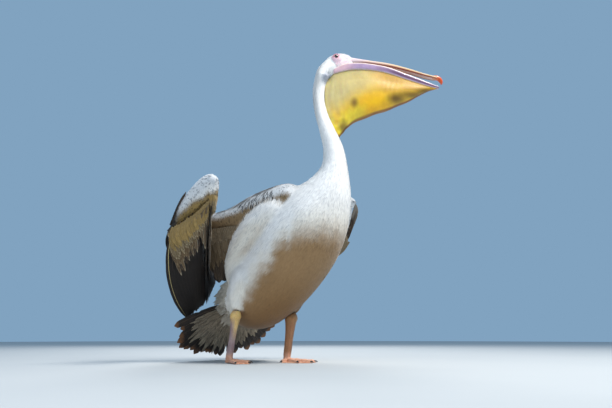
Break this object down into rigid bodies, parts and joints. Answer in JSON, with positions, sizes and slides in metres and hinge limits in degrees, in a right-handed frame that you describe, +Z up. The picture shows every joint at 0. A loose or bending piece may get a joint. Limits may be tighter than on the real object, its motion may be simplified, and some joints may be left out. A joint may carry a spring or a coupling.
{
  "type": "great white pelican",
  "caption": "Life-size still pelican standing on webbed feet, neck raised, head turned left, bill ajar over a full pouch, wings half open and tail fanned.",
  "frame": {"origin": "middle of the floor under the bird's overall box", "axes": "+Z up; the trunk faces -Y; +X is the bird's left; the bill points to -Y and +X"},
  "size_m": [0.916, 1.005, 1.2326],
  "materials": {
    "feathers_white": "fine matt white plumage",
    "feathers_belly": "matt white plumage, warm and stained below",
    "feathers_coverts": "small coverts, white above and pale brown beneath",
    "feathers_dark": "brown-black flight feathers, slight sheen",
    "skin_pouch": "thin yellow skin, slightly glossy and translucent, blown up with air",
    "skin_leg": "scaled skin, ochre at the ankle and grey-pink below",
    "skin_web": "salmon-pink webs",
    "horn_bill": "grey-pink horn with yellow streaks",
    "horn_nail": "orange-red horn",
    "horn_claw": "dark brown horn",
    "eye": "dark brown glossy eye"
  },
  "bodies": {
    "root": {"eye_r": "eye", "eye_l": "eye", "bill_nail": "horn_nail", "bill_upper": "horn_bill", "head": "feathers_white", "bill_lower": "horn_bill", "pouch": "skin_pouch", "neck_upper": "feathers_white", "neck_lower": "feathers_white", "breast": "feathers_white", "abdomen": "feathers_belly", "tail_coverts": "feathers_coverts", "tail_feathers": "feathers_dark", "thigh_r": "feathers_white", "shank_r": "skin_leg", "foot_r": "skin_web", "claw_r_hind": "horn_claw", "claw_r_inner": "horn_claw", "claw_r_middle": "horn_claw", "claw_r_outer": "horn_claw", "wing_r_upper_arm": "feathers_coverts", "wing_r_forearm": "feathers_coverts", "wing_r_hand": "feathers_coverts", "wing_r_primaries": "feathers_dark", "wing_r_secondaries": "feathers_dark", "wing_r_tertials": "feathers_dark", "thigh_l": "feathers_white", "shank_l": "skin_leg", "foot_l": "skin_web", "claw_l_hind": "horn_claw", "claw_l_inner": "horn_claw", "claw_l_middle": "horn_claw", "claw_l_outer": "horn_claw", "wing_l_upper_arm": "feathers_coverts", "wing_l_forearm": "feathers_coverts", "wing_l_hand": "feathers_coverts", "wing_l_primaries": "feathers_dark", "wing_l_secondaries": "feathers_dark", "wing_l_tertials": "feathers_dark"}
  },
  "joints": []
}
